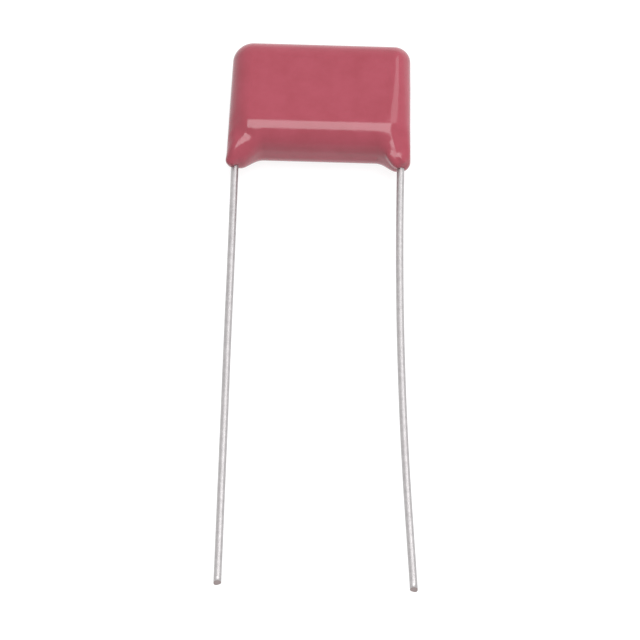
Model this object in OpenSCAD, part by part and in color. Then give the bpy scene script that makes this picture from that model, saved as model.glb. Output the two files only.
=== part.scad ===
// Radial film capacitor dipped in epoxy, lying on its flat back.
// The pressed film roll has a sprayed metal layer on each end, a wire lead is
// welded to each layer, and the whole is dipped, so that the coat runs a little
// way down each lead as a foot. +Z looks out of the front face, the leads run
// towards -Y, and the origin is the middle of the back face under the block.
// All lengths are in millimetres and all angles in degrees.

/* [Leads] */
// Distance between the two leads where they leave the coat
lead_pitch = 15; // [10:0.5:22.5]
// Diameter of the tinned wire
lead_d = 0.65; // [0.5:0.05:0.8]
// Depth that the welded wire is sunk into the sprayed end layer
weld_sink = 0.12; // [0.05:0.01:0.2]
// Height on the end layer to which the wire reaches, above the middle of the roll
weld_reach = 2.4; // [1:0.1:3]
// Straight wire below the foot before its bend begins
exit_straight = 1.5; // [0.5:0.1:5]
// Length of the left wire below its foot
left_free = 42.2; // [20:0.1:60]
// Outward bend of the left wire
left_bend = 0.2; // [0.1:0.1:2]
// Radius of the left bend
left_bend_r = 600; // [200:50:900]
// Length of the right wire below its foot
right_free = 42.5; // [38:0.1:60]
// Outward bend of the right wire
right_bend = 4.6; // [2:0.1:4.8]
// Radius of the right bend
right_bend_r = 440; // [200:10:460]
// Slant of the sheared wire ends
cut_slant = 12; // [0:1:25]

/* [Film roll] */
// Height of the pressed roll, along the leads
roll_h = 9.4; // [8:0.1:12]
// Thickness of the pressed roll
roll_t = 3.9; // [3.6:0.1:6]
// Radius of the roll's pressed corners
roll_r = 1.7; // [0.8:0.1:1.9]
// Height of the slit that the winding mandrel left
slit_h = 5.4; // [3:0.1:6.5]
// Width of that slit
slit_t = 0.14; // [0.08:0.01:0.3]
// Thickness of the plain film wrapped round the roll
wrap_t = 0.12; // [0.06:0.01:0.3]
// Thickness of the sprayed metal on each end
spray_t = 0.45; // [0.3:0.05:0.7]

/* [Coat] */
// Thickness of the coat on the front and the back
coat_face = 0.68; // [0.5:0.02:1.2]
// Thickness of the coat over the top and under the roll
coat_rim = 0.78; // [0.6:0.02:1.4]
// Thickness of the coat outside each lead, at the underside
coat_side = 0.47; // [0.45:0.01:0.8]
// Radius of the edges along the top and the underside
edge_r = 2.3; // [1.6:0.05:2.5]
// Radius of the edges down the two sides
side_r = 1.9; // [1.3:0.05:2.2]
// Radius of the two top corners
top_corner_r = 1.65; // [1.3:0.05:2.5]
// Inward lean of each side, from the underside to the top
side_lean = 1.4; // [0:0.1:2.4]

/* [Feet] */
// Depth of each foot below the underside, at the lead
foot_drop = 1.25; // [0.8:0.05:2]
// How far the foot runs from the lead towards the middle
foot_run = 2.5; // [1.6:0.1:3.4]
// Full-depth stretch of the foot beside the lead
foot_flat = 0.45; // [0.2:0.05:0.9]
// How sharply the foot draws in towards the lead, front and back
foot_draw = 1.5; // [1.2:0.05:4]
// Width of the rounded outer corner of the foot
foot_corner_w = 0.7; // [0.35:0.05:0.75]
// Height of the rounded outer corner of the foot
foot_corner_h = 0.8; // [0.5:0.05:1.2]

/* [Hidden] */

// Thin bond line between the coat or the spray and what it holds
bond = 0.01;
// Extra length that carries a cut clear of a face
clear = 1;
// The wire draws in by this much round its bend, and the straight stretches
// lap over the bend by this length
bend_neck = 0.004;
bend_lap = 0.2;

lead_r = lead_d / 2;
lead_x = lead_pitch / 2;
block_w = lead_pitch + lead_d + 2 * coat_side;
block_h = roll_h + 2 * (wrap_t + coat_rim);
block_t = roll_t + 2 * (wrap_t + coat_face);
mid_z = block_t / 2;
spray_x = lead_x - lead_r + weld_sink;
roll_len = 2 * (spray_x - spray_t);
foot_tip = block_h / 2 + foot_drop;

// Fineness of the coat: steps round an edge, along a foot and across it
edge_steps = 8;
foot_steps = 9;
belly_steps = 10;

coat_red = [0.66, 0.20, 0.27];
film_tint = [0.86, 0.86, 0.82];
wrap_tint = [0.93, 0.84, 0.55];
spray_grey = [0.62, 0.63, 0.64];
tin_grey = [0.80, 0.79, 0.79];

// ---- shared forms ------------------------------------------------------

// Rounded rectangle across Y and Z, centred, extruded along X
module bar(length, height, thickness, radius) {
    rotate([90, 0, 90])
        linear_extrude(length, center = true)
            union() {
                square([height - 2 * radius, thickness], center = true);
                square([height, thickness - 2 * radius], center = true);
                for (side_y = [-1, 1], side_z = [-1, 1])
                    translate([side_y * (height / 2 - radius), side_z * (thickness / 2 - radius)])
                        circle(radius, $fn = 48);
            }
}

// The roll with its wrap and both sprayed ends, as the dip finds it
module wound_block(grow) {
    translate([0, 0, mid_z])
        bar(2 * spray_x + 2 * grow, roll_h + 2 * wrap_t + 2 * grow,
            roll_t + 2 * wrap_t + 2 * grow, roll_r + wrap_t + grow);
}

// The straight upper wire of the right lead, from the weld to below the foot
module upper_wire(radius, end_room) {
    top_y = weld_reach + end_room;
    translate([lead_x, top_y, mid_z])
        rotate([90, 0, 0])
            cylinder(h = top_y + foot_tip + exit_straight + bend_lap, r = radius, $fn = 32);
}

// ---- coat --------------------------------------------------------------

// Height lost on a rounded corner, at a distance in from the side
function corner_rise(inset, wide, high) =
    inset >= wide ? 0 : high * (1 - sqrt(1 - pow(1 - inset / wide, 2)));

// Share of the foot's depth at a distance along X from the lead
function foot_share(run) =
    let (t = min(1, max(0, (run - foot_flat) / (foot_run - foot_flat))))
    1 - t * t * (3 - 2 * t);

// Share of the foot's depth at a distance across the thickness from the lead
function draw_share(off, half) =
    pow(max(0, 1 - pow(off / half, 2)), foot_draw);

// One station of the coat at a distance x along the block, as [x, y, z] points
function coat_ring(x) =
    let (
        inset = block_w / 2 - abs(x),
        swell = inset >= side_r ? 1 : sqrt(max(0.0004, 1 - pow(1 - inset / side_r, 2))),
        round_r = edge_r * swell,
        half_t = block_t / 2 - side_r * (1 - swell),
        top_y = block_h / 2 - corner_rise(inset, top_corner_r, top_corner_r),
        low_y = -block_h / 2 + corner_rise(inset, foot_corner_w, foot_corner_h),
        drop = foot_drop * foot_share(lead_x - abs(x)),
        turn = [for (i = [0 : edge_steps]) 90 * i / edge_steps],
        top_front = [for (a = turn) [top_y - round_r * (1 - cos(a)), half_t - round_r * (1 - sin(a))]],
        low_front = [for (a = turn) [low_y + round_r * (1 - sin(a)), half_t - round_r * (1 - cos(a))]],
        belly = [for (i = [1 : belly_steps - 1]) [low_y, (half_t - round_r) * (1 - 2 * i / belly_steps)]],
        low_back = [for (a = turn) [low_y + round_r * (1 - cos(a)), -half_t + round_r * (1 - sin(a))]],
        top_back = [for (a = turn) [top_y - round_r * (1 - sin(a)), -half_t + round_r * (1 - cos(a))]],
        low = [for (p = concat(low_front, belly, low_back)) [p[0] - drop * draw_share(p[1], half_t), p[1]]]
    )
    [for (p = concat(top_front, low, top_back))
        [x * (1 - 2 * tan(side_lean) * (p[0] + block_h / 2) / block_w), p[0], mid_z + p[1]]];

// Distances along X from the middle to one side at which stations lie
half_stations = concat(
    [for (i = [0 : foot_steps])
        lead_x - foot_run + (foot_run - foot_flat) * i / foot_steps],
    [for (i = [1 : edge_steps])
        let (from = lead_x - foot_flat)
        from + (block_w / 2 - from) * sin(90 * i / edge_steps)]);

module coat_solid() {
    right = [for (i = [1 : len(half_stations) - 1]) half_stations[i]];
    first = half_stations[0];
    stations = concat([for (i = [len(right) - 1 : -1 : 0]) -right[i]], [-first, first], right);
    rings = [for (x = stations) coat_ring(x)];
    around = len(rings[0]);
    last = len(rings) - 1;
    points = [for (ring = rings) for (p = ring) p];
    skin = [for (s = [0 : last - 1]) for (i = [0 : around - 1])
        let (a = s * around + i, b = s * around + (i + 1) % around)
        for (face = [[a, b, b + around], [a, b + around, a + around]]) face];
    left_end = [for (i = [around - 1 : -1 : 0]) i];
    right_end = [for (i = [0 : around - 1]) last * around + i];
    polyhedron(points, concat(skin, [left_end, right_end]), convexity = 6);
}

module epoxy_coat() {
    color(coat_red)
        difference() {
            coat_solid();
            wound_block(bond);
            upper_wire(lead_r + bond, bond);
            mirror([1, 0, 0]) upper_wire(lead_r + bond, bond);
        }
}

// ---- film roll ---------------------------------------------------------

module film_winding() {
    color(film_tint)
        translate([0, 0, mid_z])
            difference() {
                bar(roll_len, roll_h, roll_t, roll_r);
                cube([roll_len + clear, slit_h, slit_t], center = true);
            }
}

module outer_wrap() {
    color(wrap_tint)
        translate([0, 0, mid_z])
            difference() {
                bar(roll_len, roll_h + 2 * wrap_t, roll_t + 2 * wrap_t, roll_r + wrap_t);
                bar(roll_len + clear, roll_h, roll_t, roll_r);
            }
}

// Sprayed metal over the right end of the roll and its wrap, with the weld seat
module end_spray() {
    color(spray_grey)
        difference() {
            translate([spray_x - spray_t / 2, 0, mid_z])
                bar(spray_t, roll_h + 2 * wrap_t, roll_t + 2 * wrap_t, roll_r + wrap_t);
            upper_wire(lead_r + bond, bond);
        }
}

module end_spray_right() {
    end_spray();
}

module end_spray_left() {
    mirror([1, 0, 0]) end_spray();
}

// ---- leads -------------------------------------------------------------

// A right-hand lead: straight out of the coat, a long gentle bend, a straight
// end and a sheared tip
module lead(free, bend, bend_r) {
    start_y = -(foot_tip + exit_straight);
    end_len = free - exit_straight - bend_r * bend * PI / 180;
    color(tin_grey)
        union() {
            upper_wire(lead_r, 0);
            translate([lead_x + bend_r, start_y, mid_z])
                rotate([0, 0, 180])
                    rotate_extrude(angle = bend, $fn = 1440)
                        translate([bend_r, 0])
                            circle(lead_r - bend_neck, $fn = 32);
            translate([lead_x + bend_r * (1 - cos(bend)), start_y - bend_r * sin(bend), mid_z])
                rotate([90, 0, bend])
                    end_wire(end_len);
        }
}

// The straight end along +Z, which laps back over the bend, with its slanting tip
module end_wire(length) {
    difference() {
        translate([0, 0, -bend_lap])
            cylinder(h = length + bend_lap, r = lead_r, $fn = 32);
        translate([0, lead_r, length])
            rotate([cut_slant, 0, 0])
                translate([-lead_d, -2 * lead_d, 0])
                    cube([2 * lead_d, 3 * lead_d, clear]);
    }
}

module lead_right() {
    lead(right_free, right_bend, right_bend_r);
}

module lead_left() {
    mirror([1, 0, 0]) lead(left_free, left_bend, left_bend_r);
}

epoxy_coat();
film_winding();
outer_wrap();
end_spray_left();
end_spray_right();
lead_left();
lead_right();
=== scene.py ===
import math

import bmesh
import bpy
from mathutils import Matrix, Vector, noise


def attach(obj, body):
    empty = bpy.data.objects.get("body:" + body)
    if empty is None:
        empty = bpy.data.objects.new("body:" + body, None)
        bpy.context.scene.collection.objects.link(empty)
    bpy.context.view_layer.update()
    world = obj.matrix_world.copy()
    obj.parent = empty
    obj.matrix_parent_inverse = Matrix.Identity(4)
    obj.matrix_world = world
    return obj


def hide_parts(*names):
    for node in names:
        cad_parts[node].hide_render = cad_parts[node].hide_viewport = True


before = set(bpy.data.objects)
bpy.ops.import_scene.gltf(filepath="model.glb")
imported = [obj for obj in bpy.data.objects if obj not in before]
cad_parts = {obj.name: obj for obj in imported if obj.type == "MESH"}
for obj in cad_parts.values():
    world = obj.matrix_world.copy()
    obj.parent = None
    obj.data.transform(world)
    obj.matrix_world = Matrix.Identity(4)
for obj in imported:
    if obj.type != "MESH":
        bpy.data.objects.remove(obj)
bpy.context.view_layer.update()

# ---- Camera ---------------------------------------------------------------
# Looks down on the part from the side of its leads with a long lens, and is
# turned a little, so that the block stands askew in the picture.
MM = 0.001
CAMERA_RISE = math.radians(60)
CAMERA_ROLL = math.radians(1.6)
CAMERA_AWAY = 450 * MM
CAMERA_LENS = 285.45
CAMERA_SENSOR = 36
CAMERA_NEAR = 10 * MM
AIM = Vector((0.535, -22.565, 2.497)) * MM

away = Vector((0, -math.cos(CAMERA_RISE), math.sin(CAMERA_RISE)))
level = Vector((1, 0, 0))
upright = away.cross(level)
across = level * math.cos(CAMERA_ROLL) + upright * math.sin(CAMERA_ROLL)
up = away.cross(across)
camera_data = bpy.data.cameras.new("camera")
camera_data.lens = CAMERA_LENS
camera_data.sensor_width = CAMERA_SENSOR
camera_data.clip_start = CAMERA_NEAR
camera = bpy.data.objects.new("camera", camera_data)
turn = Matrix((across, up, away)).transposed().to_4x4()
camera.matrix_world = Matrix.Translation(AIM + away * CAMERA_AWAY) @ turn
bpy.context.collection.objects.link(camera)
bpy.context.scene.camera = camera

# ---- Light ----------------------------------------------------------------
# A large soft box hangs right over the table, a little to the right, with a
# small dimmer one behind on the right. The room lights the part most from high
# up at the back, and least from low down, the left and the side of the leads.
LAMP_PLACE = Vector((110, -50, 800)) * MM
LAMP_WIDE = 660 * MM
LAMP_DEEP = 540 * MM
LAMP_RADIANCE = 4.0
WINDOW_PLACE = Vector((580, 500, 800)) * MM
WINDOW_WIDE = 420 * MM
WINDOW_DEEP = 560 * MM
WINDOW_RADIANCE = 1.65
ROOM_FRONT = 0.65
ROOM_BACK = 1.04
ROOM_LOW = 0.45
ROOM_HIGH = 1.0
ROOM_LEFT = 0.35
ROOM_RIGHT = 1.3
FRONT_TO_BACK = (-0.6, 0.5)
LOW_TO_HIGH = (0.25, 0.92)
LEFT_TO_RIGHT = (-0.8, 0.6)
WHITE = 1.0


def scaled(tree, value, reads=(0, 1), gives=(0, 1), smooth=False):
    """A value that runs over one range, made to run over another."""
    node = tree.nodes.new("ShaderNodeMapRange")
    if smooth:
        node.interpolation_type = "SMOOTHSTEP"
    node.inputs["From Min"].default_value, node.inputs["From Max"].default_value = reads
    node.inputs["To Min"].default_value, node.inputs["To Max"].default_value = gives
    tree.links.new(value, node.inputs["Value"])
    return node.outputs["Result"]


def worked(tree, operation, first, second=None):
    """The result of one sum. The second term is a number or an output."""
    node = tree.nodes.new("ShaderNodeMath")
    node.operation = operation
    tree.links.new(first, node.inputs[0])
    if isinstance(second, (int, float)):
        node.inputs[1].default_value = second
    elif second is not None:
        tree.links.new(second, node.inputs[1])
    return node.outputs["Value"]


def shown(tree):
    """1 for a ray that sees, mirrors or looks through, and 0 for one that lights."""
    path = tree.nodes.new("ShaderNodeLightPath")
    rays = path.outputs["Is Camera Ray"]
    for kind in ("Is Glossy Ray", "Is Transmission Ray"):
        rays = worked(tree, "MAXIMUM", rays, path.outputs[kind])
    return rays


scene = bpy.context.scene
scene.view_settings.view_transform = "Standard"
for name, place, wide, deep, radiance in (
        ("soft_box", LAMP_PLACE, LAMP_WIDE, LAMP_DEEP, LAMP_RADIANCE),
        ("window", WINDOW_PLACE, WINDOW_WIDE, WINDOW_DEEP, WINDOW_RADIANCE)):
    lamp_data = bpy.data.lights.new(name, "AREA")
    lamp_data.shape = "RECTANGLE"
    lamp_data.size = wide
    lamp_data.size_y = deep
    lamp_data.energy = radiance * math.pi * wide * deep
    lamp = bpy.data.objects.new(name, lamp_data)
    lamp.location = place
    if name == "window":
        lamp.rotation_euler = (-place).to_track_quat("-Z", "Y").to_euler()
    bpy.context.collection.objects.link(lamp)

world = bpy.data.worlds.new("studio")
scene.world = world
world.use_nodes = True
tree = world.node_tree
background = tree.nodes["Background"]
background.inputs["Color"].default_value = (1, 1, 1, 1)
toward = tree.nodes.new("ShaderNodeTexCoord")
split = tree.nodes.new("ShaderNodeSeparateXYZ")
tree.links.new(toward.outputs["Generated"], split.inputs["Vector"])
depth = scaled(tree, split.outputs["Y"], FRONT_TO_BACK, (ROOM_FRONT, ROOM_BACK), smooth=True)
height = scaled(tree, split.outputs["Z"], LOW_TO_HIGH, (ROOM_LOW, ROOM_HIGH), smooth=True)
side = scaled(tree, split.outputs["X"], LEFT_TO_RIGHT, (ROOM_LEFT, ROOM_RIGHT), smooth=True)
room = worked(tree, "MULTIPLY", worked(tree, "MULTIPLY", depth, height), side)
# The room lights the part, and is seen and mirrored as plain white
seen = tree.nodes.new("ShaderNodeMix")
seen.data_type = "FLOAT"
seen.inputs["B"].default_value = WHITE
tree.links.new(shown(tree), seen.inputs["Factor"])
tree.links.new(room, seen.inputs["A"])
tree.links.new(seen.outputs["Result"], background.inputs["Strength"])

# ---- Floor ----------------------------------------------------------------
# The pale sheet of the table. It is lifted to white where it is seen or
# mirrored, and keeps enough of its own light for the part's shadow to show.
SHEET_HALF = 1500 * MM
SHEET_WHITE = (0.88, 0.88, 0.88, 1)
SHEET_SEEN = (0.2, 0.2, 0.2, 1)
SHEET_LIFT = 0.9


def new_finish(name):
    """A new material, its node tree and its surface shader."""
    finish = bpy.data.materials.new(name)
    finish.use_nodes = True
    return finish, finish.node_tree, finish.node_tree.nodes["Principled BSDF"]


def tinted(tree, share, first, second):
    """Two colours blended by a share. Either is a colour or an output."""
    node = tree.nodes.new("ShaderNodeMix")
    node.data_type = "RGBA"
    for socket, tone in (("A", first), ("B", second)):
        if isinstance(tone, tuple):
            node.inputs[socket].default_value = tone
        else:
            tree.links.new(tone, node.inputs[socket])
    tree.links.new(share, node.inputs["Factor"])
    return node.outputs["Result"]


floor_mesh = bpy.data.meshes.new("floor")
bm = bmesh.new()
bmesh.ops.create_grid(bm, x_segments=1, y_segments=1, size=SHEET_HALF)
bm.to_mesh(floor_mesh)
bm.free()
floor = bpy.data.objects.new("floor", floor_mesh)
bpy.context.collection.objects.link(floor)
sheet, tree, paper = new_finish("white_sheet")
paper.inputs["Roughness"].default_value = 0.9
paper.inputs["Specular IOR Level"].default_value = 0.1
paper.inputs["Emission Color"].default_value = (1, 1, 1, 1)
seen_rays = shown(tree)
tree.links.new(worked(tree, "MULTIPLY", seen_rays, SHEET_LIFT), paper.inputs["Emission Strength"])
tree.links.new(tinted(tree, seen_rays, SHEET_WHITE, SHEET_SEEN), paper.inputs["Base Color"])
floor_mesh.materials.append(sheet)

# ---- Epoxy coat -----------------------------------------------------------
# The dipped skin: the part is hung by its leads and lowered into liquid epoxy,
# which rounds every edge and creeps a little way down each wire as a foot.
# A ring is drawn along the block and each of its points settles on the skin.
LEAD_X = 7.5 * MM
BLOCK_W = 16.6 * MM
BLOCK_H = 11.2 * MM
BLOCK_T = 5.5 * MM
EDGE_R = 2.3 * MM
SIDE_R = 1.9 * MM
FOOT_FLAT = 0.45 * MM
FOOT_DRAW_FRONT = 1.3
FOOT_DRAW_BACK = 1.7
FOOT_CORNER_W = 0.75 * MM
FOOT_CORNER_H = 0.85 * MM
# The dip ran a little unevenly: left side, then right side
FOOT_DROP = (1.3 * MM, 1.2 * MM)
FOOT_RUN = (2.55 * MM, 2.35 * MM)
TOP_CORNER_R = (1.95 * MM, 1.5 * MM)
SIDE_LEAN = (math.radians(1.6), math.radians(1.1))
LOW_FULLNESS = (0.2 * MM, 1.6 * MM)
# Where the epoxy gathered or thinned as it set, in mm: from where, to where,
# how wide, and how far it stands out at each end
RUN_DOWN_LEFT_FOOT = ((-7.2, -5.1, 5), (-7.9, -6.8, 3.6), 0.6, 0.1, 0.45)
BEAD_OVER_LEFT_WIRE = ((-8, -6.8, 3.2), (-8, -7, 2.8), 0.4, 0.2, 0.2)
HOLLOW_ABOVE_LEFT_FOOT = ((-7.5, -3.6, 5), (-7.4, -4.8, 4.7), 0.8, -0.15, -0.2)
DIMPLE_UNDER_LEFT_CORNER = ((-6.9, -4.8, 5), (-6.4, -4.9, 5), 0.5, -0.1, -0.1)
DIMPLE_UNDER_RIGHT_CORNER = ((6.4, -5.2, 4.9), (7.1, -5.2, 4.8), 0.7, -0.1, -0.1)
HOLLOW_AT_RIGHT_CORNER = ((7.3, -1, 5), (7.2, -4, 5), 1.2, -0.1, -0.3)
HOLLOW_ABOVE_RIGHT_FOOT = ((7.6, -4.6, 4.8), (7.6, -5.6, 4.4), 0.8, -0.2, -0.2)
RUN_BESIDE_RIGHT_FOOT = ((6.3, -6.3, 4), (7.1, -6.9, 3.4), 0.4, 0.3, 0.3)
BEAD_OVER_RIGHT_WIRE = ((7.4, -6.3, 4), (7.6, -6.5, 3.7), 0.3, 0.15, 0.2)
RIDGE_UP_RIGHT_SIDE = ((6.9, 4, 5.3), (6.9, -1, 5.3), 0.5, 0.05, 0.02)
GATHERED = (RUN_DOWN_LEFT_FOOT, BEAD_OVER_LEFT_WIRE, HOLLOW_ABOVE_LEFT_FOOT,
            DIMPLE_UNDER_LEFT_CORNER, DIMPLE_UNDER_RIGHT_CORNER, HOLLOW_AT_RIGHT_CORNER,
            HOLLOW_ABOVE_RIGHT_FOOT, RUN_BESIDE_RIGHT_FOOT, BEAD_OVER_RIGHT_WIRE,
            RIDGE_UP_RIGHT_SIDE)
# How finely the skin is divided: round each edge, along each flat, and along
# the block's middle, its feet and its rounded sides
ROUND_STEPS = 36
FLAT_STEPS = 40
AROUND = 4 * (ROUND_STEPS + FLAT_STEPS)
MIDDLE_STEPS = 12
FOOT_STEPS = 30
SIDE_STEPS = 24
LEAST_SWELL = 0.0004
middle_stations = [(LEAD_X - FOOT_RUN[0]) * k / MIDDLE_STEPS for k in range(1, MIDDLE_STEPS)]
foot_stations = [LEAD_X - FOOT_RUN[0] + (FOOT_RUN[0] - FOOT_FLAT) * k / FOOT_STEPS
                 for k in range(FOOT_STEPS + 1)]
side_stations = [LEAD_X - FOOT_FLAT +
                 (BLOCK_W / 2 - LEAD_X + FOOT_FLAT) * math.sin(math.pi * k / (2 * SIDE_STEPS))
                 for k in range(1, SIDE_STEPS + 1)]
half = middle_stations + foot_stations + side_stations
stations = [-x for x in reversed(half)] + [0] + half


def corner_rise(inset, wide, high):
    """Height lost on a rounded corner, at a distance in from the side."""
    if inset >= wide:
        return 0
    return high * (1 - math.sqrt(max(0, 1 - (1 - inset / wide) ** 2)))


def skin_point(x, step):
    """Where a point of the ring at x settles, counted in steps round the ring."""
    side = 0 if x < 0 else 1
    inset = BLOCK_W / 2 - abs(x)
    swell = 1 if inset >= SIDE_R else math.sqrt(max(LEAST_SWELL, 1 - (1 - inset / SIDE_R) ** 2))
    bend = EDGE_R * swell
    fuller = bend + LOW_FULLNESS[side] * (1 - swell)
    half_t = BLOCK_T / 2 - SIDE_R * (1 - swell)
    top = BLOCK_H / 2 - corner_rise(inset, TOP_CORNER_R[side], TOP_CORNER_R[side])
    low = -BLOCK_H / 2 + corner_rise(inset, FOOT_CORNER_W, FOOT_CORNER_H)
    # The four round edges: top front, low front, low back, top back
    rounds = [(top - bend, half_t - bend, bend), (low + fuller, half_t - bend, fuller),
              (low + bend, bend - half_t, bend), (top - bend, bend - half_t, bend)]
    quarter, rest = divmod(step, ROUND_STEPS + FLAT_STEPS)
    angle = math.pi / 2 * (quarter + min(1, rest / ROUND_STEPS))
    share = max(0, rest - ROUND_STEPS) / FLAT_STEPS
    ends = [(y + reach * math.cos(angle), z + bend * math.sin(angle))
            for y, z, reach in (rounds[quarter], rounds[(quarter + 1) % 4])]
    y = ends[0][0] * (1 - share) + ends[1][0] * share
    z = ends[0][1] * (1 - share) + ends[1][1] * share
    if quarter in (1, 2):
        run = min(1, max(0, (LEAD_X - abs(x) - FOOT_FLAT) / (FOOT_RUN[side] - FOOT_FLAT)))
        draw = max(0, 1 - (z / half_t) ** 2) ** (FOOT_DRAW_FRONT if z > 0 else FOOT_DRAW_BACK)
        y -= FOOT_DROP[side] * (1 - run * run * (3 - 2 * run)) * draw
    lean = 2 * math.tan(SIDE_LEAN[side]) * (y + BLOCK_H / 2) / BLOCK_W
    return Vector((x * (1 - lean), y, BLOCK_T / 2 + z))


def grow_tube(bm, axis, steps):
    """Draw the open ring in bm out along an axis in steps of one, and close its ends."""
    step = [0, 0, 0]
    step[axis] = -1 if axis == 1 else 1
    edges = bm.edges[:]
    for k in range(steps):
        grown = bmesh.ops.extrude_edge_only(bm, edges=edges)["geom"]
        bmesh.ops.translate(bm, vec=step,
                            verts=[g for g in grown if isinstance(g, bmesh.types.BMVert)])
        edges = [g for g in grown if isinstance(g, bmesh.types.BMEdge) and
                 abs(g.verts[0].co[axis] - g.verts[1].co[axis]) < 0.5]
    bmesh.ops.holes_fill(bm, edges=bm.edges[:], sides=0)

    def order(spot):
        turned = math.atan2(spot[(axis + 2) % 3], spot[(axis + 1) % 3])
        return abs(spot[axis]) * 10 + turned

    # The operators draw in no fixed order, so what they drew is put in one
    bm.verts.sort(key=lambda vert: order(vert.co))
    bm.edges.sort(key=lambda edge: order((edge.verts[0].co + edge.verts[1].co) / 2))
    bm.faces.sort(key=lambda face: order(face.calc_center_median()))


bm = bmesh.new()
bmesh.ops.create_circle(bm, segments=AROUND, radius=1, cap_ends=False,
                        matrix=Matrix.Rotation(math.pi / 2, 4, "Y"))
grow_tube(bm, 0, len(stations) - 1)
for vert in bm.verts:
    step = round(math.atan2(vert.co.z, vert.co.y) / (2 * math.pi) * AROUND) % AROUND
    vert.co = skin_point(stations[round(vert.co.x)], step)
bmesh.ops.recalc_face_normals(bm, faces=bm.faces)
bm.normal_update()
for vert in bm.verts:
    rise = 0
    for start, stop, width, low, high in GATHERED:
        start, stop = Vector(start) * MM, Vector(stop) * MM
        run = stop - start
        share = min(1, max(0, (vert.co - start).dot(run) / run.length_squared))
        gone = (vert.co - start - run * share).length / (width * MM)
        rise += (low + (high - low) * share) * MM * math.exp(-gone * gone)
    vert.co += vert.normal * rise
coat_mesh = bpy.data.meshes.new("dipped_coat")
bm.to_mesh(coat_mesh)
bm.free()
coat_mesh.shade_smooth()
coat = bpy.data.objects.new("dipped_coat", coat_mesh)
bpy.context.collection.objects.link(coat)

# Pigmented resin: even colour with faint clouds, a slightly wavy gloss, a
# fine orange peel and a few pinholes that burst while it cured
EPOXY_RED = (0.37, 0.0535, 0.084, 1)
EPOXY_DEEP = (0.336, 0.0435, 0.0685, 1)
EPOXY_IOR = 1.5
EPOXY_GLOSS = (0.11, 0.2)
WAVE_HIGH = 0.04 * MM
PEEL_HIGH = 0.009 * MM
PINHOLE_DEEP = 0.02 * MM
PINHOLE_WIDE = 0.06


def mottled(tree, place, scale, detail, roughness=0.5):
    """Clouds or grain of one scale, as a value from 0 to 1."""
    node = tree.nodes.new("ShaderNodeTexNoise")
    node.inputs["Scale"].default_value = scale
    node.inputs["Detail"].default_value = detail
    node.inputs["Roughness"].default_value = roughness
    tree.links.new(place, node.inputs["Vector"])
    return node.outputs["Fac"]


def spotted(tree, place, scale):
    """The distance to the nearest of many scattered spots."""
    node = tree.nodes.new("ShaderNodeTexVoronoi")
    node.inputs["Scale"].default_value = scale
    tree.links.new(place, node.inputs["Vector"])
    return node.outputs["Distance"]


def relief(tree, height, strength, distance, over=None, sunk=False):
    """Fine relief from a height, laid over another relief where one is given."""
    node = tree.nodes.new("ShaderNodeBump")
    node.invert = sunk
    node.inputs["Strength"].default_value = strength
    node.inputs["Distance"].default_value = distance
    tree.links.new(height, node.inputs["Height"])
    if over is not None:
        tree.links.new(over, node.inputs["Normal"])
    return node.outputs["Normal"]


epoxy, tree, resin = new_finish("epoxy")
resin.inputs["IOR"].default_value = EPOXY_IOR
place = tree.nodes.new("ShaderNodeTexCoord").outputs["Object"]
clouds = mottled(tree, place, 420, 6, 0.6)
tone = tinted(tree, scaled(tree, clouds, (0.3, 0.6)), EPOXY_DEEP, EPOXY_RED)
sheen = scaled(tree, clouds, (0.3, 0.7), EPOXY_GLOSS)
wavy = relief(tree, mottled(tree, place, 260, 1), 0.5, WAVE_HIGH)
peel = relief(tree, mottled(tree, place, 2600, 3), 0.5, PEEL_HIGH, wavy)
pits = scaled(tree, spotted(tree, place, 700), (0, PINHOLE_WIDE))
pinholes = relief(tree, pits, 0.4, PINHOLE_DEEP, peel)
tree.links.new(tone, resin.inputs["Base Color"])
tree.links.new(sheen, resin.inputs["Roughness"])
tree.links.new(pinholes, resin.inputs["Normal"])
coat_mesh.materials.append(epoxy)
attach(coat, "root")
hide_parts("epoxy_coat")

# ---- Tinned leads ---------------------------------------------------------
# Drawn wire with a thin coat of tin, cut from a reel and welded to the roll.
# Each was bent a little by hand, and its end was sheared off with a small burr.
WIRE_R = 0.34 * MM
WIRE_Z = 2.75 * MM
WIRE_TOP = 2.4 * MM
FOOT_TIP = -6.85 * MM
EXIT_STRAIGHT = 1.5 * MM
WIRE_STEPS = 110
WIRE_SIDES = 32
# Per lead: side, place at the coat, free length, bend in degrees, its radius
WIRES = {"lead_left": (-1, 7.53 * MM, 42.2 * MM, 0.2, 600 * MM),
         "lead_right": (1, 7.42 * MM, 42.4 * MM, 4.25, 440 * MM)}
# The straightening left a slight sway, so many waves to the metre
SWAY = 0.02 * MM
SWAY_WAVES = 90
# The shear leaves a slanted, slightly flattened end with a rim and a burr
BURR_LONG = 0.09 * MM
BURR_LEAN = 0.7
SHEAR_SLANT = 0.05 * MM
SHEAR_FLATTENS = 0.97
RIM_WIDE = 0.12 * WIRE_R
CUT_WIDE = 0.5 * WIRE_R
RIM_BARE = 1
CUT_BARE = 0.8

# Bright tin: fine drawing lines along the wire, dull patches, tiny nicks, and
# the bare core where the end was cut
TIN_BRIGHT = (0.50, 0.482, 0.486, 1)
TIN_DULL = (0.42, 0.402, 0.406, 1)
CORE_COLOUR = (0.30, 0.24, 0.235, 1)
TIN_GLOSS = (0.5, 0.34)
LINE_DEEP = 0.006 * MM
NICK_DEEP = 0.012 * MM


def drawn_out(tree, place, scale):
    """The place with a scale of its own each way, for marks that run one way."""
    node = tree.nodes.new("ShaderNodeMapping")
    node.inputs["Scale"].default_value = scale
    tree.links.new(place, node.inputs["Vector"])
    return node.outputs["Vector"]


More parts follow.
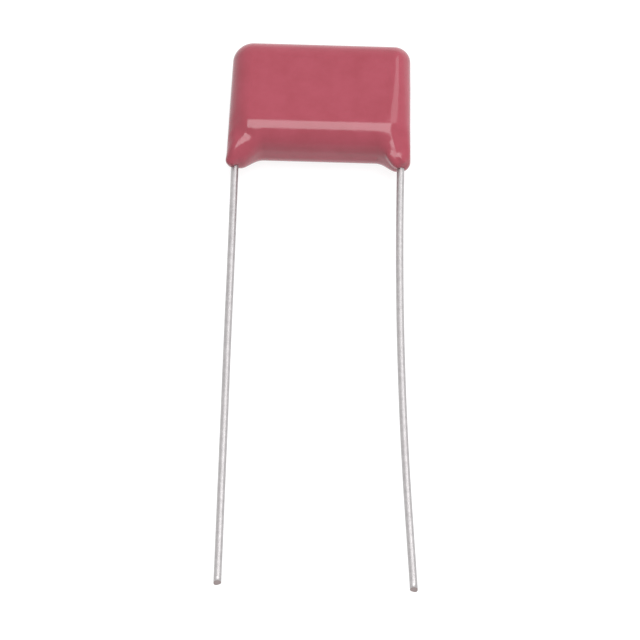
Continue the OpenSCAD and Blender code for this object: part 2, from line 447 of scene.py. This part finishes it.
wire, tree, tin = new_finish("tinned_wire")
tin.inputs["Metallic"].default_value = 1
place = tree.nodes.new("ShaderNodeTexCoord").outputs["Object"]
lines = mottled(tree, drawn_out(tree, place, (9000, 260, 9000)), 1, 4)
patches = mottled(tree, place, 1900, 4, 0.7)
tone = tinted(tree, scaled(tree, patches, (0.35, 0.62)), TIN_DULL, TIN_BRIGHT)
cut = tree.nodes.new("ShaderNodeAttribute")
cut.attribute_name = "cut"
bare = tinted(tree, cut.outputs["Fac"], tone, CORE_COLOUR)
grain = scaled(tree, lines, (0.3, 0.7), TIN_GLOSS)
scored = relief(tree, lines, 0.5, LINE_DEEP)
nicked = relief(tree, patches, 0.6, NICK_DEEP, scored)
tree.links.new(bare, tin.inputs["Base Color"])
tree.links.new(grain, tin.inputs["Roughness"])
tree.links.new(nicked, tin.inputs["Normal"])

for name, (side, lead_x, free, bend_deg, bend_r) in WIRES.items():
    bend = math.radians(bend_deg)
    start_y = FOOT_TIP - EXIT_STRAIGHT
    upper = WIRE_TOP - start_y
    bent = bend * bend_r
    whole = WIRE_TOP - FOOT_TIP + free
    bm = bmesh.new()
    bare_end = bm.verts.layers.float.new("cut")
    bmesh.ops.create_circle(bm, segments=WIRE_SIDES, radius=WIRE_R, cap_ends=False,
                            matrix=Matrix.Rotation(math.pi / 2, 4, "X"))
    grow_tube(bm, 1, WIRE_STEPS)
    cut_end = next(face for face in bm.faces
                   if len(face.verts) == WIRE_SIDES and face.calc_center_median().y < -1)
    for inset, shade in ((RIM_WIDE, RIM_BARE), (CUT_WIDE, CUT_BARE)):
        bmesh.ops.inset_individual(bm, faces=[cut_end], thickness=inset)
        for vert in cut_end.verts:
            vert[bare_end] = shade
    for vert in bm.verts:
        round_x, round_z = vert.co.x, vert.co.z
        along = whole * -vert.co.y / WIRE_STEPS
        if vert.co.y < 0.5 - WIRE_STEPS:
            # The shear drags the wire's edge on one side into a burr
            pulled = max(0, -round_z * BURR_LEAN + round_x * side * BURR_LEAN) / WIRE_R
            along += BURR_LONG * pulled ** 3 - SHEAR_SLANT * round_z / WIRE_R
            round_z *= SHEAR_FLATTENS
        turned = min(bend, max(0, (along - upper) / bend_r))
        end = max(0, along - upper - bent)
        x = lead_x + bend_r * (1 - math.cos(turned)) + end * math.sin(bend)
        y = WIRE_TOP - min(along, upper) - bend_r * math.sin(turned) - end * math.cos(bend)
        sway = noise.noise(Vector((along * SWAY_WAVES, side * 3, 0))) * min(1, end / MM)
        vert.co = (side * (x + round_x * side * math.cos(turned)) + SWAY * sway,
                   y + round_x * side * math.sin(turned), WIRE_Z + round_z)
    bmesh.ops.recalc_face_normals(bm, faces=bm.faces)
    lead_mesh = bpy.data.meshes.new("drawn_" + name)
    bm.to_mesh(lead_mesh)
    bm.free()
    lead_mesh.shade_smooth()
    for face in lead_mesh.polygons:
        if abs(face.normal.y) > 0.8:
            face.use_smooth = False
    lead_mesh.materials.append(wire)
    lead = bpy.data.objects.new("drawn_" + name, lead_mesh)
    bpy.context.collection.objects.link(lead)
    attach(lead, "root")
    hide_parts(name)

# ---- Film roll ------------------------------------------------------------
# Many turns of metallised film wound flat and pressed. The turns show on the
# ends as fine pale and dark lines that run round the flat core.
ROLL_MIDDLE_Z = 2.75 * MM
ROLL_FLAT = 2.75 * MM
TURNS_TO_THE_METRE = 90000
FILM_DARK = (0.36, 0.37, 0.39, 1)
FILM_PALE = (0.62, 0.63, 0.63, 1)
FILM_GLOSS = (0.22, 0.5)
FILM_EDGE_HIGH = 0.004 * MM
film, tree, plastic = new_finish("film")
plastic.inputs["Metallic"].default_value = 0.55
place = tree.nodes.new("ShaderNodeTexCoord").outputs["Object"]
split = tree.nodes.new("ShaderNodeSeparateXYZ")
tree.links.new(place, split.inputs["Vector"])
# How far a point lies from the flat core: straight along it, round at its ends
past_flat = worked(tree, "SUBTRACT", worked(tree, "ABSOLUTE", split.outputs["Y"]), ROLL_FLAT)
core = tree.nodes.new("ShaderNodeCombineXYZ")
tree.links.new(worked(tree, "MAXIMUM", past_flat, 0), core.inputs["X"])
tree.links.new(worked(tree, "SUBTRACT", split.outputs["Z"], ROLL_MIDDLE_Z), core.inputs["Y"])
reach = tree.nodes.new("ShaderNodeVectorMath")
reach.operation = "LENGTH"
tree.links.new(core.outputs["Vector"], reach.inputs[0])
turns = worked(tree, "SINE", worked(tree, "MULTIPLY", reach.outputs["Value"], TURNS_TO_THE_METRE))
tone = tinted(tree, scaled(tree, turns, (-1, 1)), FILM_DARK, FILM_PALE)
gloss = scaled(tree, mottled(tree, place, 900, 4), gives=FILM_GLOSS)
tree.links.new(tone, plastic.inputs["Base Color"])
tree.links.new(gloss, plastic.inputs["Roughness"])
tree.links.new(relief(tree, turns, 0.4, FILM_EDGE_HIGH), plastic.inputs["Normal"])
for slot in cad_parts["film_winding"].material_slots:
    slot.material = film

# ---- Outer wrap -----------------------------------------------------------
# A few turns of plain clear film that hold the roll together, slightly yellow,
# sealed with heat, with fine wrinkles along the block.
WRAP_DEEP = (0.74, 0.60, 0.26, 1)
WRAP_PALE = (0.84, 0.74, 0.42, 1)
WRAP_CLEAR = 0.35
WRAP_IOR = 1.6
WRAP_GLOSS = (0.12, 0.35)
WRINKLE_HIGH = 0.02 * MM
wrap, tree, clear = new_finish("wrap")
clear.inputs["Transmission Weight"].default_value = WRAP_CLEAR
clear.inputs["IOR"].default_value = WRAP_IOR
place = tree.nodes.new("ShaderNodeTexCoord").outputs["Object"]
wrinkles = mottled(tree, drawn_out(tree, place, (250, 1500, 1500)), 1, 5)
tree.links.new(tinted(tree, wrinkles, WRAP_DEEP, WRAP_PALE), clear.inputs["Base Color"])
tree.links.new(scaled(tree, wrinkles, gives=WRAP_GLOSS), clear.inputs["Roughness"])
tree.links.new(relief(tree, wrinkles, 0.5, WRINKLE_HIGH), clear.inputs["Normal"])
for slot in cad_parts["outer_wrap"].material_slots:
    slot.material = wrap

# ---- Sprayed ends ---------------------------------------------------------
# Molten zinc blown on to both ends of the roll: a grainy dull grey crust with
# brighter droplets, which the leads are welded to.
ZINC_DARK = (0.30, 0.30, 0.31, 1)
ZINC_PALE = (0.56, 0.56, 0.57, 1)
ZINC_GLOSS = (0.45, 0.8)
DROPLET_HIGH = 0.03 * MM
CRUST_HIGH = 0.05 * MM
spray, tree, zinc = new_finish("end_metal")
zinc.inputs["Metallic"].default_value = 0.85
place = tree.nodes.new("ShaderNodeTexCoord").outputs["Object"]
crust = mottled(tree, place, 2200, 8, 0.7)
droplets = relief(tree, spotted(tree, place, 6500), 0.8, DROPLET_HIGH, sunk=True)
tree.links.new(tinted(tree, crust, ZINC_DARK, ZINC_PALE), zinc.inputs["Base Color"])
tree.links.new(scaled(tree, crust, gives=ZINC_GLOSS), zinc.inputs["Roughness"])
tree.links.new(relief(tree, crust, 0.7, CRUST_HIGH, droplets), zinc.inputs["Normal"])
for name in ("end_spray_left", "end_spray_right"):
    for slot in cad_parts[name].material_slots:
        slot.material = spray
